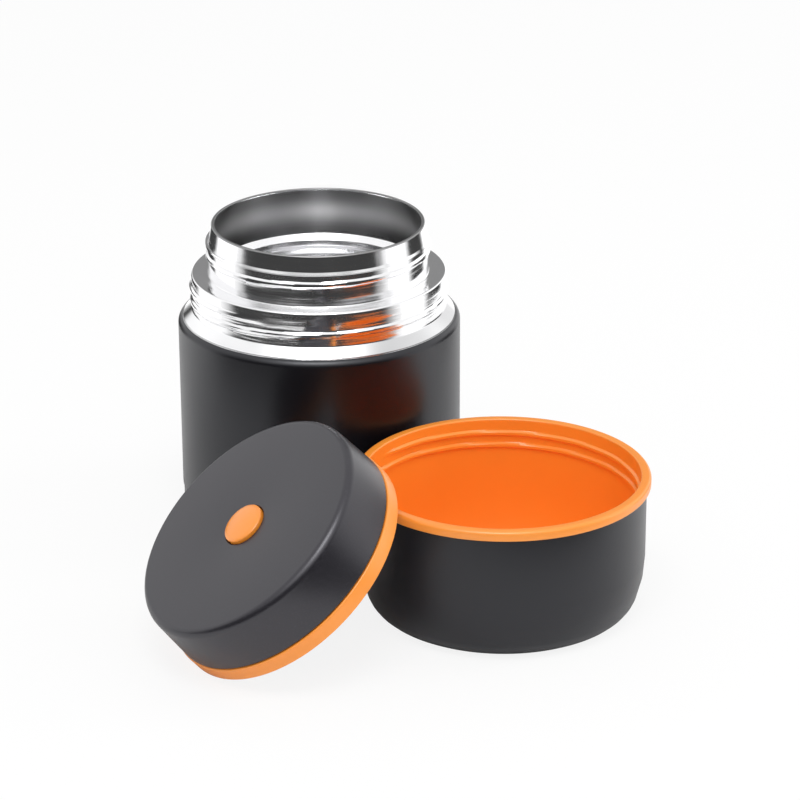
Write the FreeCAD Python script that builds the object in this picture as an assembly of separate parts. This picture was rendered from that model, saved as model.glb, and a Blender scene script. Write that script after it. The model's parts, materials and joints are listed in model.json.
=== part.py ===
import FreeCAD, Part
import math
import os

# Insulated food jar, taken apart: the open jar, its screw stopper leaning on the
# screw-on cup, and the cup standing upright. Millimetres, +Z up, origin on the jar
# axis where the jar stands. Every piece but the spring is turned about its own axis,
# so a profile is a list of (radius, height) corners.

os.makedirs("parts", exist_ok=True)

# Fits and clearances
press_fit = 0.05
rest_gap = 0.3
wall_gap = 0.2
thread_bite = 0.3
lid_thread_clearance = 0.6
cup_thread_clearance = 0.5
plug_clearance = 0.05
cover_clearance = 0.5
gasket_squeeze = 0.35

# Roundings that many edges share
fine_round = 0.2
edge_round = 0.3
soft_round = 0.4
seat_round = 0.6
bend_round = 1.0
rounding_share = 0.49

# Jar outside
jar_radius = 50.0
shell_wall = 0.6
shoulder_height = 73.2
shoulder_round = 2.8
coating_edge_inset = 1.6
collar_lap = 4.0
steel_sweep = 12.0

# Jar base
seam_height = 12.5
seam_gap = 0.3
base_cap_inset = 0.35
base_cap_wall = 0.9
base_cap_floor = 1.4
base_cap_round = 1.5
base_cap_lift = 0.4
spigot_rise = 3.2
pad_inset = 6.0
pad_thickness = 1.0
bottom_plate_wall = 0.6
seal_hole_radius = 1.2
seal_radius = 3.0
seal_thickness = 0.8
getter_radius = 5.0
getter_thickness = 1.4

# Steel neck
band_height = 5.6
band_taper = 0.9
band_tuck = 0.5
band_step = 1.0
ledge_width = 6.1
upper_neck_height = 12.4
ledge_round = 1.4
shoulder_width = 5.0
lower_neck_height = 12.3
neck_foot_rise = 3.2
neck_foot_round = 2.0
neck_wall = 0.6

# Inner vessel
vessel_wall = 0.5
vessel_inset = 2.0
vacuum_gap = 5.4
vessel_corner = 8.0
vessel_shoulder_drop = 8.0
vessel_shoulder_round = 3.0
seat_rise = 1.0
seat_depth = 1.9
seat_width = 2.25
throat_length = 2.0

# Threads
upper_thread_depth = 0.8
upper_thread_pitch = 4.0
upper_thread_rise = 6.5
upper_thread_start = 135.0
lower_thread_depth = 0.8
lower_thread_pitch = 4.5
lower_thread_rise = 2.8
lower_thread_start = 160.0
thread_turns = 1.25
thread_foot = 2.2
thread_crest = 0.7

# Cup
cup_x = 62.8
cup_y = -81.3
cup_height = 48.4
cup_base_inset = 10.9
cup_corner_radius = 9.0
cup_straight_from = 20.0
cup_shell_wall = 0.6
cup_liner_wall = 1.2
cup_band_height = 3.4
cup_band_overhang = 1.45
cup_band_round = 1.2
cup_thread_depth = 0.9
cup_thread_drop = 10.9
cup_thread_start = -10.0
cup_thread_turns = 1.45

# Stopper lid, measured along its own axis from the lower face of the orange ring
lid_ring_overhang = 2.55
lid_ring_height = 5.45
lid_ring_round = 0.5
lid_skirt_wall = 1.3
lid_bead = 0.25
lid_bead_height = 2.0
lid_deck_top = 18.2
lid_deck_wall = 1.5
lid_thread_depth = 1.0
lid_thread_height = 3.4
lid_thread_start = 40.0
cap_gap = 0.35
cap_inset = 0.35
cap_taper = 1.1
cap_rise = 6.0
cap_top_round = 2.6
cap_deck = 2.2
cap_bore_clearance = 0.3
cap_collar_wall = 1.2
cap_collar_depth = 1.8
button_hole_lip = 0.5

# Insulated plug under the lid
plug_wall = 1.5
plug_neck_inset = 0.35
plug_shoulder = 2.05
plug_drop = 3.9
cover_thickness = 2.0
cover_round = 0.8
well_radius = 8.0
well_wall = 1.2
well_ceiling = 0.6
tube_wall = 1.5
foam_gap = 0.2
gasket_drop = 1.2
gasket_lip = 0.8
gasket_edge = 1.0

# Button and vent valve
button_radius = 7.4
button_gap = 0.25
button_rise = 0.9
button_bevel = 1.0
button_dome = 1.2
button_wall = 1.3
button_top_wall = 2.7
button_travel = 2.2
boss_radius = 3.0
boss_length = 6.9
guide_flange_radius = 9.0
guide_flange = 0.8
guide_wall = 1.1
pocket_radius = 5.3
pocket_depth = 8.0
guide_sleeve_radius = 3.6
stem_radius = 1.5
stem_cap_gap = 1.5
valve_head_radius = 4.6
valve_head_height = 1.3
washer_radius = 6.0
washer_thickness = 1.2
seal_clearance = 0.1
spring_wire = 0.8
spring_radius = 4.3
spring_turns = 5.5

# How the lid leans: the height angle and compass heading of its axis, and how far
# it stands to one side of the line through the cup axis
lid_axis_elevation = 49.28
lid_axis_heading = -154.12
lid_side_step = 1.83

# Sizes that follow
lower_neck_radius = jar_radius - shoulder_width
upper_neck_radius = lower_neck_radius - ledge_width
band_radius = upper_neck_radius - band_tuck
mouth_radius = band_radius - band_taper
vessel_radius = lower_neck_radius - vessel_inset
pad_radius = jar_radius - pad_inset
shoulder_top = shoulder_height + shoulder_round
lower_neck_foot = shoulder_top + neck_foot_rise
ledge_height = lower_neck_foot + lower_neck_height
band_bottom = ledge_height + upper_neck_height
mouth_height = band_bottom + band_height
lower_thread_height = lower_neck_foot + lower_thread_rise
upper_thread_height = ledge_height + upper_thread_rise
seat_top = ledge_height + seat_rise
seat_height = seat_top - seat_depth
vessel_shoulder = ledge_height - vessel_shoulder_drop
spigot_bottom = pad_thickness + base_cap_floor + spigot_rise
vessel_floor = spigot_bottom + vacuum_gap
cup_thread_height = cup_height - cup_thread_drop
cap_top = lid_deck_top + cap_rise
pocket_bottom = lid_deck_top - pocket_depth
neck_bore = mouth_radius - neck_wall - press_fit - vessel_wall
throat_radius = neck_bore - seat_width
shoulder_centre = (jar_radius - shoulder_round, shoulder_height)
shoulder_reach = shoulder_round - coating_edge_inset
coating_edge = math.degrees(math.acos(shoulder_reach / shoulder_round))
spigot_radius = jar_radius - base_cap_inset - base_cap_wall - press_fit
liner_bore = lower_neck_radius + lower_thread_depth + cup_thread_clearance
cup_radius = liner_bore + cup_liner_wall + wall_gap + cup_shell_wall
cup_base_radius = cup_radius - cup_base_inset
lid_skirt_bore = upper_neck_radius + upper_thread_depth + lid_thread_clearance
lid_skirt_radius = lid_skirt_bore + lid_skirt_wall
lid_ring_radius = lid_skirt_radius + lid_ring_overhang
cap_radius = lid_ring_radius - cap_inset
cap_foot = lid_ring_height + cap_gap
cap_bore = lid_skirt_radius + cap_bore_clearance
lid_deck_bottom = lid_deck_top - lid_deck_wall
plug_radius = neck_bore - plug_clearance
gasket_radius = neck_bore + gasket_squeeze
cover_radius = throat_radius - cover_clearance
plug_neck_radius = cover_radius - plug_neck_inset
button_hole = button_radius + button_gap
button_edge_top = cap_top + button_rise
button_underside = button_edge_top - button_top_wall
guide_top = lid_deck_top + guide_flange
button_skirt_bottom = guide_top + rest_gap + button_travel
boss_bottom = button_underside - boss_length
stem_top = button_underside - stem_cap_gap
guide_radius = pocket_radius + guide_wall
guide_base = pocket_bottom - guide_wall
stem_bore = stem_radius + press_fit
tube_bore = guide_sleeve_radius + press_fit
tube_radius = tube_bore + tube_wall
cover_bottom = -plug_drop
cover_top = cover_bottom + cover_thickness
washer_top = well_ceiling - seal_clearance
washer_bottom = washer_top - washer_thickness


def vector(radius, height):
    return FreeCAD.Vector(radius, 0, height)


def arc(radius, height, bend, start, end):
    """An arc of a profile, by its centre, its radius and two angles in degrees."""
    def at(degrees):
        turn = math.radians(degrees)
        return vector(radius + bend * math.cos(turn), height + bend * math.sin(turn))
    return [at(start), at((start + end) / 2), at(end)]


def rounded(before, corner, after, bend):
    """The tangent arc that rounds a corner, no larger than its two sides allow."""
    to_before = before - corner
    to_after = after - corner
    half = to_before.getAngle(to_after) / 2
    room = rounding_share * min(to_before.Length, to_after.Length)
    reach = min(bend / math.tan(half), room)
    bend = reach * math.tan(half)
    to_before.normalize()
    to_after.normalize()
    inward = to_before + to_after
    inward.normalize()
    middle = corner + inward * (bend / math.sin(half) - bend)
    return [corner + to_before * reach, middle, corner + to_after * reach]


def outline(items):
    """A closed wire through corners (radius, height[, rounding]) and arcs."""
    stops = []
    for item in items:
        stops.append(item if isinstance(item, list) else [vector(item[0], item[1])])
    for index, item in enumerate(items):
        if isinstance(item, tuple) and len(item) == 3:
            before = stops[index - 1]
            after = stops[(index + 1) % len(stops)]
            start = before[-1] if isinstance(items[index - 1], list) else vector(*items[index - 1][:2])
            corner = vector(item[0], item[1])
            stops[index] = rounded(start, corner, after[0], item[2])
    edges = []
    for index, stop in enumerate(stops):
        if len(stop) == 3:
            edges.append(Part.Arc(*stop).toShape())
        following = stops[(index + 1) % len(stops)][0]
        if stop[-1].distanceToPoint(following) > 1e-6:
            edges.append(Part.makeLine(stop[-1], following))
    return Part.Wire(Part.__sortEdges__(edges))


def lathe(items):
    """A solid turned about Z from a closed profile."""
    face = Part.Face(outline(items))
    return face.revolve(FreeCAD.Vector(0, 0, 0), FreeCAD.Vector(0, 0, 1), 360)


def ridge(wall_radius, depth, pitch, height, turns=thread_turns):
    """A helical thread ridge: a positive depth stands outward, a negative one inward."""
    root = wall_radius - math.copysign(thread_bite, depth)
    crest = wall_radius + depth
    corners = [
        vector(root, height - thread_foot / 2),
        vector(crest, height - thread_crest / 2),
        vector(crest, height + thread_crest / 2),
        vector(root, height + thread_foot / 2),
    ]
    section = Part.makePolygon(corners + corners[:1])
    path = Part.makeHelix(pitch, pitch * turns, wall_radius)
    path.translate(FreeCAD.Vector(0, 0, height))
    return Part.Wire(path.Edges).makePipeShell([section], True, True)


def turned(shape, degrees):
    shape.rotate(FreeCAD.Vector(0, 0, 0), FreeCAD.Vector(0, 0, 1), degrees)
    return shape


# Jar

def body_shell():
    inside = jar_radius - shell_wall
    return lathe([
        (jar_radius, seam_height, soft_round),
        arc(*shoulder_centre, shoulder_round, 0, coating_edge),
        arc(*shoulder_centre, shoulder_round - shell_wall, coating_edge, 0),
        (inside, seam_height + shell_wall),
        (spigot_radius - shell_wall, seam_height + shell_wall),
        (spigot_radius - shell_wall, spigot_bottom),
        (spigot_radius, spigot_bottom),
        (spigot_radius, seam_height),
    ])


def neck_collar():
    outer_lap = shoulder_round - shell_wall - press_fit
    inner_lap = outer_lap - neck_wall
    collar = lathe([
        (mouth_radius - neck_wall - vessel_wall, mouth_height, fine_round),
        (mouth_radius, mouth_height, edge_round),
        (band_radius, band_bottom, bend_round),
        (upper_neck_radius, band_bottom - band_step, soft_round),
        (upper_neck_radius, ledge_height, seat_round),
        (lower_neck_radius, ledge_height, ledge_round),
        (lower_neck_radius, lower_neck_foot, neck_foot_round),
        (lower_neck_radius + neck_foot_rise, shoulder_top, bend_round),
        arc(*shoulder_centre, shoulder_round, coating_edge + steel_sweep, coating_edge),
        arc(*shoulder_centre, outer_lap, coating_edge, 0),
        (jar_radius - shell_wall - press_fit, shoulder_height - collar_lap),
        (shoulder_centre[0] + inner_lap, shoulder_height - collar_lap),
        arc(*shoulder_centre, inner_lap, 0, coating_edge),
        (lower_neck_radius - neck_wall + neck_foot_rise, shoulder_top - neck_wall, seat_round),
        (lower_neck_radius - neck_wall, lower_neck_foot - neck_wall / 2, bend_round),
        (lower_neck_radius - neck_wall, ledge_height - neck_wall, seat_round),
        (upper_neck_radius - neck_wall, ledge_height - neck_wall, soft_round),
        (upper_neck_radius - neck_wall, band_bottom - band_step),
        (mouth_radius - neck_wall, band_bottom),
        (mouth_radius - neck_wall, mouth_height - neck_wall),
        (mouth_radius - neck_wall - vessel_wall, mouth_height - neck_wall),
    ])
    upper = ridge(upper_neck_radius, upper_thread_depth, upper_thread_pitch, upper_thread_height)
    lower = ridge(lower_neck_radius, lower_thread_depth, lower_thread_pitch, lower_thread_height)
    threads = [turned(upper, upper_thread_start), turned(lower, lower_thread_start)]
    return collar.fuse(threads).removeSplitter()


def inner_vessel():
    neck = neck_bore + vessel_wall
    body = vessel_radius + vessel_wall
    throat_bottom = seat_height - throat_length
    return lathe([
        (0, vessel_floor),
        (vessel_radius, vessel_floor, vessel_corner),
        (vessel_radius, vessel_shoulder, vessel_shoulder_round),
        (throat_radius, throat_bottom, seat_round),
        (throat_radius, seat_height, seat_round),
        (neck_bore, seat_top, seat_round),
        (neck_bore, mouth_height - neck_wall - press_fit),
        (neck, mouth_height - neck_wall - press_fit),
        (neck, seat_top - vessel_wall, soft_round),
        (throat_radius + vessel_wall, seat_height - vessel_wall, soft_round),
        (throat_radius + vessel_wall, throat_bottom + vessel_wall, soft_round),
        (body, vessel_shoulder + vessel_wall, vessel_shoulder_round + vessel_wall),
        (body, vessel_floor - vessel_wall, vessel_corner + vessel_wall),
        (0, vessel_floor - vessel_wall),
    ])


def bottom_plate():
    edge = spigot_radius - shell_wall - press_fit
    return lathe([
        (seal_hole_radius, spigot_bottom),
        (edge, spigot_bottom),
        (edge, spigot_bottom + bottom_plate_wall),
        (seal_hole_radius, spigot_bottom + bottom_plate_wall),
    ])


def vacuum_seal():
    return lathe([
        (0, spigot_bottom - seal_thickness),
        (seal_radius, spigot_bottom - seal_thickness, soft_round),
        (seal_radius, spigot_bottom),
        (seal_hole_radius - press_fit, spigot_bottom),
        (seal_hole_radius - press_fit, spigot_bottom + bottom_plate_wall),
        (0, spigot_bottom + bottom_plate_wall),
    ])


def getter():
    top = vessel_floor - vessel_wall
    return lathe([
        (0, top - getter_thickness),
        (getter_radius, top - getter_thickness, soft_round),
        (getter_radius, top),
        (0, top),
    ])


def base_cap():
    outside = jar_radius - base_cap_inset
    floor = pad_thickness + base_cap_floor
    top = seam_height - seam_gap
    return lathe([
        (0, pad_thickness),
        (pad_radius + rest_gap, pad_thickness),
        (pad_radius + rest_gap, base_cap_lift, fine_round),
        (outside, base_cap_lift, base_cap_round),
        (outside, top, fine_round),
        (outside - base_cap_wall, top),
        (outside - base_cap_wall, floor, seat_round),
        (0, floor),
    ])


def base_pad():
    return lathe([
        (0, 0),
        (pad_radius, 0, edge_round),
        (pad_radius, pad_thickness),
        (0, pad_thickness),
    ])


# Cup

def bowl_curve(inset, top):
    """Corners and arcs from the middle of the floor up to a height, set in by a wall."""
    rise = cup_straight_from - cup_corner_radius
    spread = cup_radius - cup_base_radius
    side = (rise ** 2 + spread ** 2 - cup_corner_radius ** 2) / (2 * (spread - cup_corner_radius))
    side_centre = cup_radius - side
    tangent = math.degrees(math.atan2(-rise, cup_base_radius - side_centre))
    return [
        (0, inset),
        arc(cup_base_radius, cup_corner_radius, cup_corner_radius - inset, -90, tangent),
        arc(side_centre, cup_straight_from, side - inset, tangent, 0),
        (cup_radius - inset, top),
    ]


def reverse(items):
    return [item[::-1] if isinstance(item, list) else item for item in reversed(items)]


def cup_shell():
    top = cup_height - cup_band_height
    return lathe(bowl_curve(0, top) + reverse(bowl_curve(cup_shell_wall, top)))


def cup_liner():
    inset = cup_shell_wall + wall_gap
    under = cup_height - cup_band_height
    outside = cup_radius + cup_band_overhang
    inside = bowl_curve(inset + cup_liner_wall, cup_height)
    inside[-1] = (liner_bore, cup_height, bend_round)
    body = lathe(bowl_curve(inset, under) + [
        (outside, under, seat_round),
        (outside, cup_height, cup_band_round),
    ] + reverse(inside))
    thread = ridge(
        liner_bore, -cup_thread_depth, lower_thread_pitch, cup_thread_height, cup_thread_turns)
    return body.fuse(turned(thread, cup_thread_start)).removeSplitter()


# Lid

def lid_inner():
    bead = lid_skirt_radius + lid_bead
    hole = guide_radius + press_fit
    body = lathe([
        (lid_skirt_bore, 0, lid_ring_round),
        (lid_ring_radius, 0, lid_ring_round),
        (lid_ring_radius, lid_ring_height, lid_ring_round),
        (lid_skirt_radius, lid_ring_height),
        (lid_skirt_radius, lid_deck_top - lid_bead_height),
        (bead, lid_deck_top - lid_bead_height),
        (bead, lid_deck_top, edge_round),
        (hole, lid_deck_top),
        (hole, lid_deck_bottom),
        (lid_skirt_bore, lid_deck_bottom, seat_round),
    ])
    thread = ridge(lid_skirt_bore, -lid_thread_depth, upper_thread_pitch, lid_thread_height)
    return body.fuse(turned(thread, lid_thread_start)).removeSplitter()


def lid_cap():
    collar = button_hole + cap_collar_wall
    ceiling = cap_top - cap_deck
    return lathe([
        (cap_bore, cap_foot, edge_round),
        (cap_radius, cap_foot, soft_round),
        (cap_radius - cap_taper, cap_top, cap_top_round),
        (button_hole, cap_top, button_hole_lip),
        (button_hole, ceiling - cap_collar_depth),
        (collar, ceiling - cap_collar_depth),
        (collar, ceiling),
        (cap_bore, ceiling, bend_round),
    ])


def lid_plug():
    neck_inside = plug_neck_radius - plug_wall
    step = plug_shoulder + plug_wall
    return lathe([
        (plug_neck_radius, cover_top),
        (plug_neck_radius, plug_shoulder),
        (plug_radius, plug_shoulder),
        (plug_radius, lid_deck_bottom),
        (plug_radius - plug_wall, lid_deck_bottom),
        (plug_radius - plug_wall, step),
        (neck_inside, step),
        (neck_inside, cover_top),
    ])


def plug_cover():
    well_outside = well_radius + well_wall
    return lathe([
        (well_radius, cover_bottom, soft_round),
        (cover_radius, cover_bottom, cover_round),
        (cover_radius, cover_top, edge_round),
        (well_outside, cover_top),
        (well_outside, well_ceiling + well_wall),
        (tube_radius, well_ceiling + well_wall),
        (tube_radius, guide_base),
        (tube_bore, guide_base),
        (tube_bore, well_ceiling),
        (well_radius, well_ceiling),
    ])


def plug_foam():
    neck_edge = plug_neck_radius - plug_wall - foam_gap
    body_edge = plug_radius - plug_wall - foam_gap
    well_edge = well_radius + well_wall + foam_gap
    step = plug_shoulder + plug_wall + foam_gap
    well_top = well_ceiling + well_wall + foam_gap
    return lathe([
        (well_edge, cover_top),
        (neck_edge, cover_top),
        (neck_edge, step),
        (body_edge, step),
        (body_edge, lid_deck_bottom),
        (guide_radius + foam_gap, lid_deck_bottom),
        (guide_radius + foam_gap, guide_base - foam_gap),
        (tube_radius + foam_gap, guide_base - foam_gap),
        (tube_radius + foam_gap, well_top),
        (well_edge, well_top),
    ])


def plug_gasket():
    inside = plug_neck_radius + press_fit
    return lathe([
        (inside, -gasket_drop, edge_round),
        (inside + gasket_lip, -gasket_drop, soft_round),
        (gasket_radius, plug_shoulder - gasket_edge, soft_round),
        (gasket_radius, plug_shoulder),
        (inside, plug_shoulder),
    ])


def button_guide():
    return lathe([
        (stem_bore, well_ceiling),
        (guide_sleeve_radius, well_ceiling),
        (guide_sleeve_radius, guide_base),
        (guide_radius, guide_base),
        (guide_radius, lid_deck_top),
        (guide_flange_radius, lid_deck_top),
        (guide_flange_radius, guide_top, edge_round),
        (pocket_radius, guide_top, fine_round),
        (pocket_radius, pocket_bottom),
        (stem_bore, pocket_bottom),
    ])


def push_button():
    bevel_radius = button_radius - button_bevel
    crown = button_edge_top + button_dome
    rise = button_dome - button_bevel / 2
    dome = (bevel_radius ** 2 + rise ** 2) / (2 * rise)
    swing = math.degrees(math.asin(bevel_radius / dome))
    return lathe([
        arc(0, crown - dome, dome, 90, 90 - swing),
        (button_radius, button_edge_top, soft_round),
        (button_radius, button_skirt_bottom, fine_round),
        (button_radius - button_wall, button_skirt_bottom),
        (button_radius - button_wall, button_underside),
        (boss_radius, button_underside),
        (boss_radius, boss_bottom),
        (stem_bore, boss_bottom),
        (stem_bore, stem_top),
        (0, stem_top),
    ])


def valve_stem():
    head_top = washer_bottom
    return lathe([
        (0, head_top - valve_head_height),
        (valve_head_radius, head_top - valve_head_height, soft_round),
        (valve_head_radius, head_top, fine_round),
        (stem_radius, head_top),
        (stem_radius, stem_top, edge_round),
        (0, stem_top),
    ])


def valve_washer():
    return lathe([
        (stem_bore, washer_bottom),
        (washer_radius, washer_bottom, edge_round),
        (washer_radius, washer_top, edge_round),
        (stem_bore, washer_top),
    ])


def valve_spring():
    start = pocket_bottom + spring_wire / 2 + press_fit
    end = button_underside - spring_wire / 2 - press_fit
    path = Part.makeHelix((end - start) / spring_turns, end - start, spring_radius)
    path.translate(FreeCAD.Vector(0, 0, start))
    ring = Part.makeCircle(spring_wire / 2, vector(spring_radius, start), FreeCAD.Vector(0, 1, 0))
    return Part.Wire(path.Edges).makePipeShell([Part.Wire([ring])], True, True)


def leaning_place():
    """Where the lid lies: its ring on the floor, its plug cover against the cup rim."""
    elevation = math.radians(lid_axis_elevation)
    heading = math.radians(lid_axis_heading)
    flat = math.cos(elevation)
    rise = math.sin(elevation)
    height = flat * (lid_ring_radius - lid_ring_round) + lid_ring_round * (1 - rise)
    rim_radius = cup_radius + cup_band_overhang - cup_band_round
    rim_height = cup_height - cup_band_round - height
    edge_radius = cover_radius - cover_round
    edge_drop = plug_drop - cover_round
    to_face = (rise * rim_height + plug_drop + cup_band_round + rest_gap) / flat
    across = rim_height - edge_radius * flat + edge_drop * rise
    span = cup_band_round + cover_round + rest_gap
    to_edge = edge_radius * rise + edge_drop * flat + math.sqrt(max(span ** 2 - across ** 2, 0))
    meets_face = to_face * rise + rim_height * flat < edge_radius
    back = rim_radius + (to_face if meets_face else to_edge)
    toward = FreeCAD.Vector(math.cos(heading), math.sin(heading), 0)
    side = FreeCAD.Vector(math.sin(heading), -math.cos(heading), 0)
    place = FreeCAD.Vector(cup_x, cup_y, height) + toward * back + side * lid_side_step
    axis = toward * flat + FreeCAD.Vector(0, 0, rise)
    return FreeCAD.Placement(place, FreeCAD.Rotation(FreeCAD.Vector(0, 0, 1), axis))


upright = FreeCAD.Placement()
beside = FreeCAD.Placement(FreeCAD.Vector(cup_x, cup_y, 0), FreeCAD.Rotation())
leaning = leaning_place()

pieces = [
    (body_shell, upright),
    (neck_collar, upright),
    (inner_vessel, upright),
    (bottom_plate, upright),
    (vacuum_seal, upright),
    (getter, upright),
    (base_cap, upright),
    (base_pad, upright),
    (cup_shell, beside),
    (cup_liner, beside),
    (lid_inner, leaning),
    (lid_cap, leaning),
    (lid_plug, leaning),
    (plug_cover, leaning),
    (plug_foam, leaning),
    (plug_gasket, leaning),
    (button_guide, leaning),
    (push_button, leaning),
    (valve_stem, leaning),
    (valve_washer, leaning),
    (valve_spring, leaning),
]

for make, place in pieces:
    shape = make()
    shape.Placement = place.multiply(shape.Placement)
    name = make.__name__
    print(name, "solids", len(shape.Solids), "volume", round(shape.Volume, 1), shape.isValid())
    shape.exportStep("parts/" + name + ".step")
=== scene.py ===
"""An insulated food jar, taken apart: the open steel jar, its stopper and its cup.

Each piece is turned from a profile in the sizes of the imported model, in metres, and
stands where that model has it.
"""
import json
import math

import bpy
from mathutils import Matrix, Vector


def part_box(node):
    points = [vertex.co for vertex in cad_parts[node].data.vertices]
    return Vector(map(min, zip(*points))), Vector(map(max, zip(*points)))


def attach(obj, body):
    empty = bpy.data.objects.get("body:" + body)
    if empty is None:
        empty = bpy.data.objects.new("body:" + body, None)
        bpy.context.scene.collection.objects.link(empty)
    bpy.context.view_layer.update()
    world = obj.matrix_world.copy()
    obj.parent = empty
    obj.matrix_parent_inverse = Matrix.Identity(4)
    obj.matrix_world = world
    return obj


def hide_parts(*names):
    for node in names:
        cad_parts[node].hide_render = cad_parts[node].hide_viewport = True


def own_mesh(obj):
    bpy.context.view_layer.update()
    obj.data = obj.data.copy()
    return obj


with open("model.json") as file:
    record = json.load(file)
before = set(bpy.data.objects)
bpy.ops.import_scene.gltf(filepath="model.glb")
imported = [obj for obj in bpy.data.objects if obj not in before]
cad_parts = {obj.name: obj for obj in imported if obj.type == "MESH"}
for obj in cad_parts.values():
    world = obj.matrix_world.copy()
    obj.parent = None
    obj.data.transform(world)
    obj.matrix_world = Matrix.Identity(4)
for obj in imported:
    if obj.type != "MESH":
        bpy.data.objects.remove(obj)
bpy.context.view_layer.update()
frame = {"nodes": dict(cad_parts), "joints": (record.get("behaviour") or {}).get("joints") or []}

bl_info = {
    "name": "Insulated food jar",
    "version": (1, 0, 0),
    "blender": (4, 5, 0),
    "location": "3D View > Sidebar > Food jar",
    "description": "Turns the jar, cup and stopper from their profiles and finishes them",
    "category": "Object",
}


def mm(value):
    return value / 1000


# Where the pieces stand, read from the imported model

def axis_of(joint_name):
    """The direction in which a joint slides."""
    joint = next(j for j in frame["joints"] if j["name"] == joint_name)
    return Vector(joint["axis"]).normalized()


def middle_of(node):
    low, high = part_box(node)
    return (low + high) / 2


# The stopper's valve washer is a plain disc on the stopper's axis, a little below the
# lower face of the orange ring, from which the stopper's heights are counted.
WASHER_MIDDLE = mm(-0.1)
LID_AXIS = axis_of("lid_lift")
LID_PLACE = (
    Matrix.Translation(middle_of("valve_washer") - LID_AXIS * WASHER_MIDDLE)
    @ Vector((0, 0, 1)).rotation_difference(LID_AXIS).to_matrix().to_4x4()
)
CUP_MIDDLE = middle_of("cup_shell")
CUP_PLACE = Matrix.Translation((CUP_MIDDLE.x, CUP_MIDDLE.y, 0))
JAR_PLACE = Matrix.Identity(4)

# Sizes that the model gives
JAR_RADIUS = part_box("body_shell")[1].x
SHOULDER_HEIGHT = mm(73.2)
MOUTH_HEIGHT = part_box("neck_collar")[1].z
CUP_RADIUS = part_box("cup_shell")[1].x - CUP_MIDDLE.x
CUP_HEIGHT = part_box("cup_liner")[1].z
CUP_RIM_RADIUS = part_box("cup_liner")[1].x - CUP_MIDDLE.x
PAD_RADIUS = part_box("base_pad")[1].x

# How finely pieces are turned
TURN_STEPS = 192
SMALL_TURN_STEPS = 96
ARC_STEP = 12.0
THREAD_ROWS = mm(0.3)
SMOOTH_ANGLE = 32.0
NECK_STEPS = 288
DOME_STEPS = 10

# Threads: the compass angle at which each starts, the width of its foot, and on the cup
# how many turns it runs
STOPPER_THREAD = (135, mm(2.6))
CUP_THREAD = (160, mm(2.8))
RING_THREAD = (40, mm(2.2))
LINER_THREAD = (-10, mm(2.2))
LINER_THREAD_TURNS = 1.45
INNER_THREAD_FADE = 0.05

# Fits, and sizes of the parts round the valve
FIT = mm(0.05)
GAP = mm(0.3)
STEEL_SWEEP = 12.0
GRIP_RINGS = 5
GUIDE_RADIUS = mm(6.4)
GUIDE_BASE = mm(9.1)
SLEEVE_RADIUS = mm(3.6)
STEM_RADIUS = mm(1.5)
BUTTON_WALL = mm(1.3)
BUTTON_BEVEL = mm(1.0)
BUTTON_EDGE = mm(0.5)
BOSS_RADIUS = mm(3.0)
BOSS_LENGTH = mm(6.9)
STEM_TOP_GAP = mm(1.5)
GUIDE_WALL = mm(1.1)
RIM_WALL = mm(1.2)
TUBE_WALL = mm(1.5)
WELL_CEILING = mm(0.6)

# Dark boards round the set, which only glossy surfaces show: name, the compass angles
# that each reaches between, counted from the camera's side towards the cup, the width
# of its soft ends in degrees, its inner radius and its height
BOARDS = [
    ("front_board", -91, 75, 18, 0.24, 0.9),
    ("right_board", 102, 138, 8, 0.26, 0.3),
    ("left_board", -160, -124, 8, 0.26, 0.3),
]
BOARD_OUTER = 1.6
FLOOR_SIZE = 12

# Lamps: width, depth and place; both point at the middle of the set
KEY_LAMP = (0.7, 0.6, (-0.05, -0.75, 1.35))
SIDE_LAMP = (0.5, 1.1, (1.30, 0.10, 0.60))
SET_MIDDLE = (0, -0.04, 0.05)
BOARD_TONE = 0.05


def length(name, description, millimetres):
    return bpy.props.FloatProperty(
        name=name, description=description, default=mm(millimetres),
        unit="LENGTH", subtype="DISTANCE", precision=5,
    )


def colour(name, description, red, green, blue):
    return bpy.props.FloatVectorProperty(
        name=name, description=description, default=(red, green, blue, 1),
        size=4, min=0, max=1, subtype="COLOR",
    )


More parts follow.
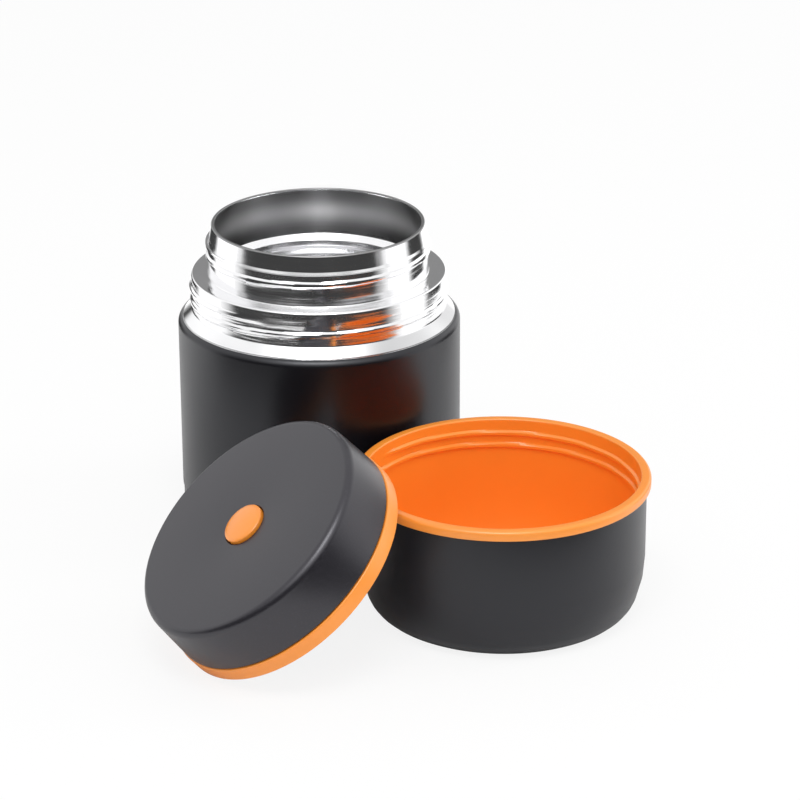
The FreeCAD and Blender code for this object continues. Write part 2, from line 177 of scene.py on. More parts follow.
class JarSizes(bpy.types.PropertyGroup):
    shell_wall: length("Shell wall", "Thickness of the coated steel shell", 0.6)
    shoulder_round: length("Shoulder rounding", "Rounding of the coated shoulder", 2.8)
    coating_inset: length("Coating edge", "How far in the coating ends", 1.6)
    seam_height: length("Seam height", "Height of the seam above the foot", 12.5)
    seam_gap: length("Seam gap", "Gap between the shell and the base cap", 0.3)
    base_inset: length("Base inset", "How far the base cap lies inside the shell", 0.35)
    base_wall: length("Base wall", "Wall of the base cap", 0.9)
    base_floor: length("Base floor", "Floor of the base cap", 1.4)
    base_lift: length("Base lift", "Height of the base cap's rim above the table", 0.4)
    base_round: length("Base rounding", "Rounding under the base cap", 1.5)
    spigot_bottom: length("Spigot bottom", "Height of the plate that closes the jar", 5.6)
    pad_thickness: length("Foot thickness", "Thickness of the rubber foot", 1.0)
    mouth_radius: length("Mouth radius", "Outer radius of the mouth", 37.5)
    band_bottom: length("Band bottom", "Lower edge of the smooth band", 103.9)
    band_radius: length("Band radius", "Radius at the band's lower edge", 38.4)
    band_step: length("Band step", "Height of the step under the band", 1.0)
    upper_radius: length("Upper neck radius", "Wall behind the stopper thread", 38.9)
    ledge_height: length("Ledge height", "Height of the flat ledge", 91.5)
    ledge_round: length("Ledge rounding", "Outer rounding of the ledge", 1.4)
    lower_radius: length("Lower neck radius", "Wall behind the cup thread", 45.0)
    lower_foot: length("Lower neck foot", "Height at which the neck meets the shoulder", 79.2)
    foot_round: length("Neck foot rounding", "Hollow rounding at the neck's foot", 2.0)
    neck_wall: length("Neck wall", "Thickness of the steel neck", 0.6)
    collar_lap: length("Collar lap", "How far the collar goes down inside the shell", 4.0)
    vessel_radius: length("Vessel radius", "Inner radius of the steel vessel", 43.0)
    vessel_wall: length("Vessel wall", "Thickness of the steel vessel", 0.5)
    vessel_floor: length("Vessel floor", "Height of the vessel's floor", 11.0)
    vessel_corner: length("Vessel corner", "Rounding of the vessel's floor", 8.0)
    vessel_shoulder: length("Vessel shoulder", "Height of the vessel's shoulder", 83.5)
    seat_top: length("Seat top", "Upper edge of the stopper's seat", 92.5)
    seat_height: length("Seat", "Lower edge of the stopper's seat", 90.6)
    throat_radius: length("Throat radius", "Radius of the throat under the seat", 34.1)
    throat_length: length("Throat length", "Height of the throat", 2.0)
    thread_depth: length("Thread depth", "How far the rolled threads stand out", 0.8)
    upper_pitch: length("Stopper thread pitch", "Rise in one turn", 4.0)
    upper_start: length("Stopper thread height", "Height where the thread starts", 98.0)
    lower_pitch: length("Cup thread pitch", "Rise in one turn", 4.5)
    lower_start: length("Cup thread height", "Height where the thread starts", 82.0)


class CupSizes(bpy.types.PropertyGroup):
    base_radius: length("Base radius", "Radius of the flat base", 37.4)
    corner_radius: length("Corner rounding", "Rounding of the lower corner", 9.0)
    straight_from: length("Straight from", "Height where the wall becomes straight", 20.0)
    shell_wall: length("Shell wall", "Thickness of the coated shell", 0.6)
    wall_gap: length("Wall gap", "Gap between shell and liner", 0.2)
    liner_wall: length("Liner wall", "Thickness of the liner", 1.2)
    band_height: length("Rim band", "Height of the liner's rim band", 3.4)
    band_round: length("Rim rounding", "Rounding of the rim", 1.2)
    thread_depth: length("Thread depth", "How far the inner thread stands in", 0.9)
    thread_height: length("Thread height", "Height where the thread starts", 37.5)


class LidSizes(bpy.types.PropertyGroup):
    ring_radius: length("Ring radius", "Outer radius of the orange ring", 44.15)
    ring_height: length("Ring height", "Height of the orange ring", 5.45)
    ring_round: length("Ring rounding", "Rounding of the ring", 0.5)
    skirt_bore: length("Skirt bore", "Bore of the threaded skirt", 40.3)
    skirt_wall: length("Skirt wall", "Wall of the threaded skirt", 1.3)
    deck_top: length("Deck top", "Top of the deck under the cover", 18.2)
    deck_wall: length("Deck wall", "Thickness of the deck", 1.5)
    thread_depth: length("Thread depth", "How far the inner thread stands in", 1.0)
    thread_height: length("Thread height", "Height where the thread starts", 3.4)
    cover_gap: length("Cover gap", "Gap between the ring and the cover", 0.35)
    cover_inset: length("Cover inset", "How far the cover lies inside the ring", 0.35)
    cover_taper: length("Cover taper", "How much narrower the cover is at the top", 1.1)
    cover_top: length("Cover top", "Height of the cover", 24.2)
    cover_round: length("Cover rounding", "Rounding of the cover's top", 2.6)
    cover_deck: length("Cover deck", "Thickness of the cover's top", 2.2)
    collar_wall: length("Collar wall", "Wall of the collar round the button", 1.2)
    collar_depth: length("Collar depth", "Depth of the collar round the button", 1.8)
    button_radius: length("Button radius", "Radius of the push button", 7.4)
    button_gap: length("Button gap", "Gap round the push button", 0.25)
    button_rise: length("Button rise", "How far the button's edge stands over the cover", 0.9)
    button_skirt: length("Button skirt", "Height of the button's side wall", 3.6)
    button_top_wall: length("Button top wall", "Thickness of the button's top at its edge", 2.7)
    button_travel: length("Button travel", "How far the button presses in", 2.2)
    button_dome: length("Button dome", "Height of the button's dome", 1.2)
    plug_radius: length("Plug radius", "Radius of the insulated plug", 36.3)
    plug_wall: length("Plug wall", "Wall of the plug", 1.5)
    plug_neck: length("Plug neck", "Radius of the plug behind the seal", 33.25)
    plug_shoulder: length("Plug shoulder", "Height of the shoulder over the seal", 2.05)
    plug_drop: length("Plug drop", "How far the plug stands out of the ring", 3.9)
    face_radius: length("Face radius", "Radius of the plug's lower cover", 33.6)
    face_wall: length("Face wall", "Thickness of the plug's lower cover", 2.0)
    well_radius: length("Valve well", "Radius of the well round the valve", 8.0)


class Finishes(bpy.types.PropertyGroup):
    coating: colour("Coating", "Matt coating of the jar and the cup", 0.0034, 0.0028, 0.0048)
    cover: colour("Cover plastic", "Dark plastic of the stopper's cover", 0.013, 0.012, 0.016)
    orange: colour("Orange plastic", "Liner, ring and button", 1.0, 0.31, 0.03)
    steel: colour("Steel", "Stainless steel", 0.93, 0.93, 0.94)
    plug: colour("Plug plastic", "Plug and its lower cover", 0.50, 0.50, 0.51)
    silicone: colour("Silicone", "Seals", 0.66, 0.67, 0.68)
    rubber: colour("Rubber", "Foot", 0.03, 0.03, 0.032)
    foam: colour("Foam", "Insulation in the plug", 0.86, 0.83, 0.72)


class Studio(bpy.types.PropertyGroup):
    focal_length: bpy.props.FloatProperty(
        name="Focal length", description="Camera lens", default=145.68, subtype="DISTANCE_CAMERA")
    camera_place: bpy.props.FloatVectorProperty(
        name="Camera place", description="Where the camera stands",
        default=(0.028518, -1.077456, 0.476549), unit="LENGTH", subtype="TRANSLATION")
    camera_pitch: bpy.props.FloatProperty(
        name="Camera pitch", description="How far the camera looks down",
        default=math.radians(21.985), subtype="ANGLE")
    camera_roll: bpy.props.FloatProperty(
        name="Camera roll", description="Turn of the camera about its own axis",
        default=math.radians(-0.263), subtype="ANGLE")
    sky: bpy.props.FloatProperty(
        name="Sky", description="Strength of the light from all round", default=0.70)
    wall_tone: bpy.props.FloatProperty(
        name="Wall tone", description="How pale the room's walls show in glossy surfaces", default=0.27)
    window: bpy.props.FloatProperty(
        name="Window", description="How much brighter the room is high up in front", default=0.9)
    left_glow: bpy.props.FloatProperty(
        name="Left glow", description="How much brighter the room is at the left", default=0.10)
    right_glow: bpy.props.FloatProperty(
        name="Right glow", description="How much brighter the room is at the right", default=0.30)
    key: bpy.props.FloatProperty(
        name="Key lamp", description="Watts of the large lamp above the camera", default=8.0)
    fill: bpy.props.FloatProperty(
        name="Side lamp", description="Watts of the lamp at the right", default=5.0)


# Profiles: corners are (radius, height) or (radius, height, rounding), arcs are lists

def arc(radius, height, bend, start, end):
    """Points on an arc, by its centre, its bend and two angles in degrees."""
    parts = max(2, math.ceil(abs(end - start) / ARC_STEP))
    turns = [math.radians(start + (end - start) * k / parts) for k in range(parts + 1)]
    return [(radius + bend * math.cos(t), height + bend * math.sin(t)) for t in turns]


def rungs(start, end):
    """Closely spaced points down a straight wall that gets a thread."""
    parts = math.ceil(math.dist(start, end) / THREAD_ROWS)
    return [tuple(a + (b - a) * k / parts for a, b in zip(start, end)) for k in range(parts + 1)]


def rounding(before, corner, after, bend):
    """Points that round a corner, no further than its two sides allow."""
    corner = Vector(corner)
    to_before = Vector(before) - corner
    to_after = Vector(after) - corner
    half = to_before.angle(to_after) / 2
    room = 0.49 * min(to_before.length, to_after.length)
    reach = min(bend / math.tan(half), room)
    bend = reach * math.tan(half)
    centre = corner + (to_before.normalized() + to_after.normalized()).normalized() * bend / math.sin(half)
    start = corner + to_before.normalized() * reach - centre
    end = corner + to_after.normalized() * reach - centre
    sweep = start.angle(end)
    parts = max(2, math.ceil(math.degrees(sweep) / ARC_STEP))
    points = []
    for k in range(parts + 1):
        from_end = math.sin(sweep * k / parts) / math.sin(sweep)
        from_start = math.sin(sweep * (1 - k / parts)) / math.sin(sweep)
        points.append(tuple(centre + start * from_start + end * from_end))
    return points


def profile(items):
    """All points of an outline of corners and arcs, in order."""
    points = []
    for index, item in enumerate(items):
        if isinstance(item, list):
            points += item
        elif len(item) == 2:
            points.append(item)
        else:
            before = items[index - 1]
            after = items[(index + 1) % len(items)]
            before = before[-1] if isinstance(before, list) else before[:2]
            after = after[0] if isinstance(after, list) else after[:2]
            points += rounding(before, item[:2], after, item[2])
    return points


# Modelling

def nothing_selected():
    if bpy.context.object and bpy.context.object.mode != "OBJECT":
        bpy.ops.object.mode_set(mode="OBJECT")
    bpy.ops.object.select_all(action="DESELECT")


def smooth(piece):
    nothing_selected()
    piece.select_set(True)
    bpy.context.view_layer.objects.active = piece
    bpy.ops.object.shade_smooth_by_angle(angle=math.radians(SMOOTH_ANGLE))


def turn(name, items, steps=TURN_STEPS):
    """A piece turned about Z: its outline is drawn point by point, then spun once round."""
    points = profile(items)
    if points[0][0] > 0 or points[-1][0] > 0:
        points.append(points[0])
    here = Vector((points[0][0], 0, points[0][1]))
    nothing_selected()
    bpy.ops.mesh.primitive_plane_add(size=mm(1), location=here)
    piece = bpy.context.object
    piece.name = piece.data.name = name
    bpy.ops.object.mode_set(mode="EDIT")
    bpy.ops.mesh.merge(type="CENTER")
    for radius, height in points[1:]:
        there = Vector((radius, 0, height))
        bpy.ops.mesh.extrude_region_move(TRANSFORM_OT_translate={"value": there - here})
        here = there
    bpy.ops.mesh.select_all(action="SELECT")
    bpy.ops.mesh.remove_doubles(threshold=mm(0.002))
    bpy.ops.mesh.spin(steps=steps, angle=math.tau, center=(0, 0, 0), axis=(0, 0, 1))
    bpy.ops.mesh.select_all(action="SELECT")
    bpy.ops.mesh.remove_doubles(threshold=mm(0.002))
    bpy.ops.mesh.normals_make_consistent(inside=False)
    bpy.ops.object.mode_set(mode="OBJECT")
    bpy.ops.object.transform_apply(location=True, rotation=True, scale=True)
    return piece


def put(piece, place):
    """Moves a piece to where it stands, and keeps the move in its mesh."""
    nothing_selected()
    piece.matrix_world = place
    piece.select_set(True)
    bpy.context.view_layer.objects.active = piece
    bpy.ops.object.transform_apply(location=True, rotation=True, scale=True)


def ease(value):
    value = min(max(value, 0.0), 1.0)
    return value * value * (3 - 2 * value)


def roll_thread(piece, wall, depth, height, pitch, start, foot, turns=1.25, fade=0.11):
    """Raises a right-handed thread on a turned wall: outward if its depth is positive."""
    half = foot / 2
    for vertex in piece.data.vertices:
        across = math.hypot(vertex.co.x, vertex.co.y)
        if abs(across - wall) > mm(0.02):
            continue
        turned = (math.atan2(vertex.co.y, vertex.co.x) - math.radians(start)) / math.tau % 1
        rise = 0.0
        for lap in range(math.ceil(turns)):
            along = turned + lap
            if along > turns:
                continue
            off = abs(vertex.co.z - height - pitch * along)
            ends = ease(along / fade) * ease((turns - along) / fade)
            rise = max(rise, ends * ease((half - off) / (half * 0.62)))
        scale = (across + depth * rise) / across
        vertex.co.x *= scale
        vertex.co.y *= scale


def finish_piece(piece, place, body, nodes, material):
    """Seats a new piece on its body, in place of the nodes that it stands for."""
    smooth(piece)
    put(piece, place)
    piece.data.materials.clear()
    piece.data.materials.append(material)
    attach(piece, body)
    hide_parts(*nodes)
    return piece


# Shader maths: an expression on values adds its Math nodes

class Value:
    """A number that changes over a surface."""

    def __init__(self, tree, socket):
        self.tree = tree
        self.socket = socket

    def join(self, operation, *others, first=None):
        node = self.tree.nodes.new("ShaderNodeMath")
        node.operation = operation
        for slot, value in zip(node.inputs, (self if first is None else first, *others)):
            if isinstance(value, Value):
                self.tree.links.new(value.socket, slot)
            else:
                slot.default_value = value
        return Value(self.tree, node.outputs[0])

    def __add__(self, other):
        return self.join("ADD", other)

    def __sub__(self, other):
        return self.join("SUBTRACT", other)

    def __rsub__(self, other):
        return self.join("SUBTRACT", self, first=other)

    def __mul__(self, other):
        return self.join("MULTIPLY", other)

    def __pow__(self, other):
        return self.join("POWER", other)

    __radd__ = __add__
    __rmul__ = __mul__

    def between(self, low, high):
        """0 below the lower value, 1 above the higher one and a soft step between."""
        node = self.tree.nodes.new("ShaderNodeMapRange")
        node.interpolation_type = "SMOOTHSTEP"
        self.tree.links.new(self.socket, node.inputs["Value"])
        node.inputs["From Min"].default_value = low
        node.inputs["From Max"].default_value = high
        return Value(self.tree, node.outputs["Result"])


class Finish:
    """One material: its nodes, its shader and the place that its patterns follow."""

    def __init__(self, name, place):
        self.material = bpy.data.materials.new(name)
        self.material.use_nodes = True
        self.tree = self.material.node_tree
        self.shader = self.tree.nodes["Principled BSDF"]
        self.here = self.centred(place)
        x, y, self.height = self.parts(self.here)
        self.radius = (x * x + y * y) ** 0.5

    def node(self, kind, settings=None, **values):
        """A node of a kind, with its settings and the values or links of its sockets."""
        node = self.tree.nodes.new(kind)
        for name, value in (settings or {}).items():
            setattr(node, name, value)
        for name, value in values.items():
            slot = node.inputs[name.replace("_", " ")]
            if isinstance(value, Value):
                self.tree.links.new(value.socket, slot)
            elif isinstance(value, bpy.types.NodeSocket):
                self.tree.links.new(value, slot)
            else:
                slot.default_value = value
        return node

    def centred(self, place):
        """Object coordinates, turned so that the piece's own axis is Z."""
        spot = self.node("ShaderNodeTexCoord").outputs["Object"]
        return self.node(
            "ShaderNodeMapping", {"vector_type": "TEXTURE"}, Vector=spot,
            Location=place.translation, Rotation=place.to_euler(),
        ).outputs["Vector"]

    def parts(self, vector):
        split = self.node("ShaderNodeSeparateXYZ", Vector=vector)
        return [Value(self.tree, split.outputs[k]) for k in "XYZ"]

    def grain(self, scale, detail=3.0, roughness=0.55):
        """Noise over the surface, from 0 to 1; the scale is in spots per metre."""
        noise = self.node(
            "ShaderNodeTexNoise", Vector=self.here, Scale=scale, Detail=detail, Roughness=roughness)
        return Value(self.tree, noise.outputs["Fac"])

    def rings(self, scale, around=8.0, detail=4.0):
        """Fine lines that run round the piece, as a lathe or a polishing wheel leaves them."""
        x, y, height = self.parts(self.here)
        lines = self.node("ShaderNodeCombineXYZ")
        self.tree.links.new((x * around).socket, lines.inputs["X"])
        self.tree.links.new((y * around).socket, lines.inputs["Y"])
        self.tree.links.new(((height + self.radius) * scale).socket, lines.inputs["Z"])
        noise = self.node(
            "ShaderNodeTexNoise", Vector=lines.outputs["Vector"], Scale=1.0, Detail=detail)
        return Value(self.tree, noise.outputs["Fac"])

    def mixed(self, first, second, amount):
        """One colour or the other, by an amount from 0 to 1."""
        node = self.node("ShaderNodeMix", {"data_type": "RGBA"})
        for slot, value in ((node.inputs[6], first), (node.inputs[7], second)):
            if isinstance(value, bpy.types.NodeSocket):
                self.tree.links.new(value, slot)
            else:
                slot.default_value = value
        self.tree.links.new(amount.socket, node.inputs[0])
        return node.outputs[2]

    def raised(self, relief, strength, distance):
        """A Bump node that feeds the shader's Normal."""
        bump = self.node("ShaderNodeBump", Height=relief, Strength=strength, Distance=distance)
        self.tree.links.new(bump.outputs["Normal"], self.shader.inputs["Normal"])

    def use(self, **values):
        """Sets or links the shader's sockets."""
        for name, value in values.items():
            slot = self.shader.inputs[name.replace("_", " ")]
            if isinstance(value, Value):
                self.tree.links.new(value.socket, slot)
            elif isinstance(value, bpy.types.NodeSocket):
                self.tree.links.new(value, slot)
            else:
                slot.default_value = value
        return self.material


def shade(tone, factor):
    """A colour made darker or lighter."""
    return (*(min(1.0, part * factor) for part in tone[:3]), 1)


# Finishes

def matt_coating(name, place, tone, wear_heights=()):
    """Soft powder coat: fine orange peel, faint cloudiness, duller rubbed edges."""
    finish = Finish(name, place)
    clouds = finish.grain(38, detail=2.0)
    peel = finish.grain(2600, detail=1.5)
    fleck = finish.grain(900, detail=4.0).between(0.60, 0.74)
    tint = finish.mixed(shade(tone, 0.88), shade(tone, 1.16), clouds)
    finish.raised(peel * 0.8 + finish.grain(700, detail=1.0) * 0.6, 0.22, mm(0.05))
    rub = fleck * 0.05
    for height in wear_heights:
        near = (finish.height - height) * (1 / mm(1.1))
        band = 1 - (near * near).between(0.0, 1.0)
        rub = rub + band * fleck * 0.10
    return finish.use(
        Base_Color=tint, Roughness=clouds * 0.06 + 0.30 + rub, Specular_IOR_Level=0.62,
        Specular_Tint=(0.93, 0.95, 1.0, 1),
    )


def polished_steel(name, place, tone, streaked_to, smooth_from):
    """Bright rolled steel: streaked low down, wavy and lined from rolling, and smoother above."""
    finish = Finish(name, place)
    lines = finish.rings(4600, around=14)
    smears = finish.grain(70, detail=3.0)
    waves = finish.rings(620, around=70, detail=0.6)
    swells = finish.rings(230, around=45, detail=0.0)
    tint = finish.mixed(shade(tone, 0.92), shade(tone, 1.04), smears * 0.5 + lines * 0.5)
    low = 1 - finish.height.between(streaked_to - mm(0.5), streaked_to + mm(1.5))
    streaks = finish.rings(1300, around=14, detail=2.0).between(0.40, 0.62)
    tint = finish.mixed(tint, shade(tone, 0.55), low * streaks)
    lip = finish.height.between(MOUTH_HEIGHT - mm(0.6), MOUTH_HEIGHT - mm(0.3))
    tint = finish.mixed(tint, shade(tone, 0.35), lip)
    smooth_band = finish.height.between(smooth_from - mm(0.3), smooth_from)
    finish.raised((lines * 0.12 + waves + swells * 2.2) * (1 - smooth_band * 0.75), 0.6, mm(0.12))
    return finish.use(
        Base_Color=tint, Metallic=1.0,
        Roughness=0.07 + lines * 0.08 + smears.between(0.45, 0.8) * 0.05 + lip * 0.25,
    )


def vessel_steel(name, place, tone):
    """Drawn steel: bright, with lathe rings."""
    finish = Finish(name, place)
    lines = finish.rings(3800, around=10, detail=5.0)
    clouds = finish.grain(55, detail=2.0)
    finish.raised(lines, 0.22, mm(0.05))
    return finish.use(
        Base_Color=finish.mixed(shade(tone, 1.0), shade(tone, 1.06), clouds), Metallic=1.0,
        Roughness=lines * 0.05 + clouds * 0.03 + 0.13,
    )


def satin_steel(name, place, tone, low, high):
    """Steel brushed round and round, which draws highlights out across the brush lines."""
    finish = Finish(name, place)
    lines = finish.rings(3800, around=10, detail=5.0)
    clouds = finish.grain(55, detail=2.0)
    half_way = (low + high) / 2
    middle = finish.height.between(low, half_way) * (1 - finish.height.between(half_way, high))
    tint = finish.mixed(shade(tone, 0.18), shade(tone, 0.28), clouds * 0.5 + lines * 0.5)
    tint = finish.mixed(tint, shade(tone, 0.80), middle * middle * (clouds * 0.2 + 0.60))
    finish.raised(lines, 0.22, mm(0.05))
    return finish.use(
        Base_Color=tint, Metallic=1.0,
        Roughness=lines * 0.08 + clouds * 0.05 + middle * 0.12 + 0.22,
        Anisotropic=0.9, Anisotropic_Rotation=0.25,
    )


def moulded_plastic(name, place, tone, gloss, texture=0.10, shine=0.5):
    """Moulded plastic: soft gloss, faint flow marks and a fine surface texture."""
    finish = Finish(name, place)
    flow = finish.grain(30, detail=2.0)
    texture_grain = finish.grain(1900, detail=2.0)
    tint = finish.mixed(shade(tone, 0.95), shade(tone, 1.05), flow)
    finish.raised(texture_grain, texture, mm(0.05))
    return finish.use(
        Base_Color=tint, Roughness=(1 - gloss) + flow * 0.05 + texture_grain * 0.05,
        Specular_IOR_Level=shine,
    )


def sparked_plastic(name, place, tone):
    """Dark plastic from a spark-eroded mould: an even fine grain with tiny light points."""
    finish = Finish(name, place)
    grain = finish.grain(1500, detail=3.0, roughness=0.7)
    clouds = finish.grain(28, detail=2.0)
    points = grain.between(0.50, 0.68)
    tint = finish.mixed(shade(tone, 0.85), shade(tone, 1.5), points * 0.7 + clouds * 0.3)
    finish.raised(grain, 0.30, mm(0.05))
    return finish.use(
        Base_Color=tint, Roughness=0.28 + clouds * 0.06 + points * 0.05, Specular_IOR_Level=0.75,
        Specular_Tint=(0.95, 0.94, 1.0, 1))


def soft_rubber(name, place, tone, roughness):
    """Rubber or silicone: dull, with a slight skin and pale dust in its pores."""
    finish = Finish(name, place)
    skin = finish.grain(1300, detail=3.0)
    dust = finish.grain(160, detail=4.0).between(0.52, 0.80)
    finish.raised(skin, 0.25, mm(0.05))
    return finish.use(
        Base_Color=finish.mixed(tone, shade(tone, 1.5), dust * 0.5),
        Roughness=roughness + skin * 0.12,
    )


def set_foam(name, place, tone):
    """Closed-cell foam: small cells with darker pits."""
    finish = Finish(name, place)
    cells = finish.node("ShaderNodeTexVoronoi", Vector=finish.here, Scale=1100.0)
    pits = Value(finish.tree, cells.outputs["Distance"])
    finish.raised(pits, 0.5, mm(0.2))
    return finish.use(
        Base_Color=finish.mixed(shade(tone, 0.72), tone, pits.between(0.1, 0.6)), Roughness=0.85 + pits * 0.1)


def dull_metal(name, place, tone, roughness):
    """Solder, getter metal and drawn wire: grey, slightly mottled."""
    finish = Finish(name, place)
    mottle = finish.grain(420, detail=4.0)
    finish.raised(mottle, 0.15, mm(0.05))
    return finish.use(
        Base_Color=finish.mixed(shade(tone, 0.75), tone, mottle), Metallic=1.0,
        Roughness=roughness + mottle * 0.15,
    )


# Jar

def shoulder_arc(jar, bend, start, end):
    """An arc of the rounded shoulder, at one of its walls."""
    return arc(JAR_RADIUS - jar.shoulder_round, SHOULDER_HEIGHT, bend, start, end)


def coating_edge(jar):
    """The angle on the rounded shoulder at which the coating ends."""
    reach = jar.shoulder_round - jar.coating_inset
    return math.degrees(math.acos(reach / jar.shoulder_round))


class FOODJAR_OT_coated_shell(bpy.types.Operator):
    """The coated wall of the jar, from the seam to the rolled shoulder"""
    bl_idname = "food_jar.coated_shell"
    bl_label = "Coated shell"

    def execute(self, context):
        jar = context.scene.jar_sizes
        edge = coating_edge(jar)
        inside = JAR_RADIUS - jar.shell_wall
        spigot = JAR_RADIUS - jar.base_inset - jar.base_wall - FIT
        shell = turn("coated_shell", [
            (JAR_RADIUS, jar.seam_height, mm(0.4)),
            shoulder_arc(jar, jar.shoulder_round, 0, edge),
            shoulder_arc(jar, jar.shoulder_round - jar.shell_wall, edge, 0),
            (inside, jar.seam_height + jar.shell_wall),
            (spigot - jar.shell_wall, jar.seam_height + jar.shell_wall),
            (spigot - jar.shell_wall, jar.spigot_bottom),
            (spigot, jar.spigot_bottom),
            (spigot, jar.seam_height),
        ])
        coat = matt_coating(
            "jar_coating", JAR_PLACE, context.scene.finishes.coating,
            (jar.seam_height, SHOULDER_HEIGHT + jar.shoulder_round))
        finish_piece(shell, JAR_PLACE, "jar", ["body_shell"], coat)
        return {"FINISHED"}


class FOODJAR_OT_steel_neck(bpy.types.Operator):
    """The polished neck: shoulder, cup thread, ledge, stopper thread and smooth lip"""
    bl_idname = "food_jar.steel_neck"
    bl_label = "Steel neck"

    def execute(self, context):
        jar = context.scene.jar_sizes
        edge = coating_edge(jar)
        wall = jar.neck_wall
        lip = jar.mouth_radius - wall - jar.vessel_wall
        rise = jar.lower_foot - SHOULDER_HEIGHT - jar.shoulder_round
        foot = jar.lower_radius + rise
        flat = SHOULDER_HEIGHT + jar.shoulder_round
        outer_lap = jar.shoulder_round - jar.shell_wall - FIT
        inner_lap = outer_lap - wall
        lap_bottom = SHOULDER_HEIGHT - jar.collar_lap
        step = jar.band_bottom - jar.band_step
        neck = turn("steel_neck", [
            (lip, MOUTH_HEIGHT, mm(0.5)),
            (jar.mouth_radius, MOUTH_HEIGHT, mm(0.5)),
            (jar.band_radius, jar.band_bottom, mm(1.0)),
            (jar.upper_radius, step, mm(0.4)),
            rungs((jar.upper_radius, step - mm(0.5)), (jar.upper_radius, jar.ledge_height + mm(0.7))),
            (jar.upper_radius, jar.ledge_height, mm(0.6)),
            (jar.lower_radius, jar.ledge_height, jar.ledge_round),
            rungs(
                (jar.lower_radius, jar.ledge_height - mm(1.5)),
                (jar.lower_radius, jar.lower_foot + mm(0.8))),
            (jar.lower_radius, jar.lower_foot, jar.foot_round),
            (foot, flat, mm(1.0)),
            shoulder_arc(jar, jar.shoulder_round, edge + STEEL_SWEEP, edge),
            shoulder_arc(jar, outer_lap, edge, 0),
            (JAR_RADIUS - jar.shell_wall - FIT, lap_bottom),
            (JAR_RADIUS - jar.shoulder_round + inner_lap, lap_bottom),
            shoulder_arc(jar, inner_lap, 0, edge),
            (foot - wall, flat - wall, mm(0.6)),
            (jar.lower_radius - wall, jar.lower_foot - wall / 2, mm(1.0)),
            (jar.lower_radius - wall, jar.ledge_height - wall, mm(0.6)),
            (jar.upper_radius - wall, jar.ledge_height - wall, mm(0.4)),
            (jar.upper_radius - wall, step),
            (jar.mouth_radius - wall, jar.band_bottom),
            (jar.mouth_radius - wall, MOUTH_HEIGHT - wall),
            (lip, MOUTH_HEIGHT - wall),
        ], steps=NECK_STEPS)
        depth = jar.thread_depth
        roll_thread(neck, jar.upper_radius, depth, jar.upper_start, jar.upper_pitch, *STOPPER_THREAD)
        roll_thread(neck, jar.lower_radius, depth, jar.lower_start, jar.lower_pitch, *CUP_THREAD)
        steel = polished_steel("neck_steel", JAR_PLACE, context.scene.finishes.steel, jar.lower_foot, step)
        finish_piece(neck, JAR_PLACE, "jar", ["neck_collar"], steel)
        return {"FINISHED"}


class FOODJAR_OT_steel_vessel(bpy.types.Operator):
    """The vessel inside: the neck's lining, the stopper's seat, the throat and the bowl"""
    bl_idname = "food_jar.steel_vessel"
    bl_label = "Steel vessel"

    def execute(self, context):
        jar = context.scene.jar_sizes
        wall = jar.vessel_wall
        bore = jar.mouth_radius - jar.neck_wall - wall - FIT
        top = MOUTH_HEIGHT - jar.neck_wall - FIT
        throat_bottom = jar.seat_height - jar.throat_length
        outside = jar.vessel_radius + wall
        vessel = turn("steel_vessel", [
            (0, jar.vessel_floor),
            (jar.vessel_radius, jar.vessel_floor, jar.vessel_corner),
            (jar.vessel_radius, jar.vessel_shoulder, mm(3.0)),
            (jar.throat_radius, throat_bottom, mm(0.6)),
            (jar.throat_radius, jar.seat_height, mm(0.6)),
            (bore, jar.seat_top, mm(0.6)),
            (bore, top),
            (bore + wall, top),
            (bore + wall, jar.seat_top - wall, mm(0.4)),
            (jar.throat_radius + wall, jar.seat_height - wall, mm(0.4)),
            (jar.throat_radius + wall, throat_bottom + wall, mm(0.4)),
            (outside, jar.vessel_shoulder + wall, mm(3.0) + wall),
            (outside, jar.vessel_floor - wall, jar.vessel_corner + wall),
            (0, jar.vessel_floor - wall),
        ])
        tone = context.scene.finishes.steel
        steel = vessel_steel("vessel_steel", JAR_PLACE, tone)
        finish_piece(vessel, JAR_PLACE, "jar", ["inner_vessel"], steel)
        vessel.data.materials.append(
            satin_steel("lining_steel", JAR_PLACE, tone, jar.seat_top, MOUTH_HEIGHT))
        for face in vessel.data.polygons:
            face.material_index = int(face.center.z > jar.seat_top)
        return {"FINISHED"}


